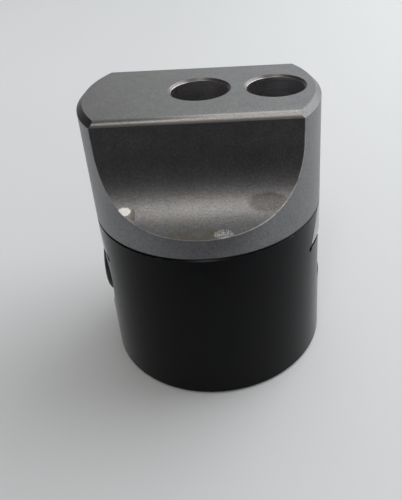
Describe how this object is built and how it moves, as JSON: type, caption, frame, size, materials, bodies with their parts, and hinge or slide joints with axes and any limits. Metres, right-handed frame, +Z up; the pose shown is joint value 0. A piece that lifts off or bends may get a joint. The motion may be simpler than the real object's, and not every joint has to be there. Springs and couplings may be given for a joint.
{
  "type": "boring head",
  "caption": "Round boring head: a dark cylindrical body with a dovetail way, a flat-sided steel tool slide with vertical bores, and a graduated lead screw that moves it.",
  "frame": {"origin": "centre of the body's lower face, on the spindle axis", "axes": "+Z up along the spindle axis towards the tool bores; +X the way the tool slide moves out; +Y towards the gib and the clamping screws"},
  "size_m": [0.05, 0.05, 0.0623],
  "materials": {
    "black_oxide": "satin black oxide",
    "bright_steel": "ground and lightly blasted bare steel",
    "ground_steel": "ground",
    "lead_steel": "turned and oiled",
    "dial_black": "satin black oxide with white lines",
    "screw_steel": "black oxide",
    "spring_steel": "blued",
    "bronze": "turned bronze"
  },
  "bodies": {
    "head_body": {"body": "black_oxide", "gib": "ground_steel", "lead_screw_bush": "bronze", "outer_thrust_washer": "bronze", "inner_thrust_washer": "bronze", "wave_washer": "spring_steel"},
    "slide": {"tool_slide": "bright_steel", "lead_nut": "bronze", "nut_pin": "ground_steel"},
    "dial_spindle": {"lead_screw": "lead_steel", "dial": "dial_black", "dial_set_screw": "screw_steel", "retaining_ring": "spring_steel"},
    "left_gib_screw": {"gib_screw_left": "screw_steel"},
    "right_gib_screw": {"gib_screw_right": "screw_steel"},
    "lock_pad": {"slide_lock_pad": "bronze"},
    "lock_screw": {"slide_lock_screw": "screw_steel"},
    "arbor_pad": {"arbor_lock_pad": "bronze"},
    "arbor_screw": {"arbor_lock_screw": "screw_steel"},
    "centre_tool_screw": {"tool_screw_centre": "screw_steel"},
    "offset_tool_screw": {"tool_screw_offset": "screw_steel"}
  },
  "joints": [
    {"name": "slide_travel", "type": "slide", "parent": "head_body", "child": "slide", "axis": [1, 0, 0], "range_m": [0, 0.015]},
    {"name": "dial_turn", "type": "hinge", "parent": "head_body", "child": "dial_spindle", "pos_m": [-0.0242, 0, 0.0224], "axis": [-1, 0, 0], "range_deg": [0, 5401]},
    {"name": "left_gib_screw_turn", "type": "hinge", "parent": "head_body", "child": "left_gib_screw", "pos_m": [-0.012, 0.018, 0.033], "axis": [0, -1, 0], "range_deg": [-45, 45]},
    {"name": "right_gib_screw_turn", "type": "hinge", "parent": "head_body", "child": "right_gib_screw", "pos_m": [0.012, 0.018, 0.033], "axis": [0, -1, 0], "range_deg": [-45, 45]},
    {"name": "lock_pad_travel", "type": "slide", "parent": "head_body", "child": "lock_pad", "axis": [0, -1, 0], "range_m": [-0.0015, 0.00025]},
    {"name": "lock_screw_turn", "type": "hinge", "parent": "lock_pad", "child": "lock_screw", "pos_m": [0, 0.02, 0.033], "axis": [0, -1, 0], "range_deg": [-541, 91]},
    {"name": "arbor_pad_travel", "type": "slide", "parent": "head_body", "child": "arbor_pad", "axis": [0, -1, 0], "range_m": [-0.001, 0.0004]},
    {"name": "arbor_screw_turn", "type": "hinge", "parent": "arbor_pad", "child": "arbor_screw", "pos_m": [0, 0.02, 0.0075], "axis": [0, -1, 0], "range_deg": [-451, 181]},
    {"name": "centre_tool_screw_travel", "type": "slide", "parent": "slide", "child": "centre_tool_screw", "axis": [0, -1, 0], "range_m": [-0.002, 0.0015]},
    {"name": "offset_tool_screw_travel", "type": "slide", "parent": "slide", "child": "offset_tool_screw", "axis": [0, -1, 0], "range_m": [-0.002, 0.0015]}
  ],
  "couplings": [
    {"joint": "dial_turn", "follows": "slide_travel", "rad_per_m": 6283.2},
    {"joint": "lock_screw_turn", "follows": "lock_pad_travel", "rad_per_m": 6283.2},
    {"joint": "arbor_screw_turn", "follows": "arbor_pad_travel", "rad_per_m": 7854}
  ]
}
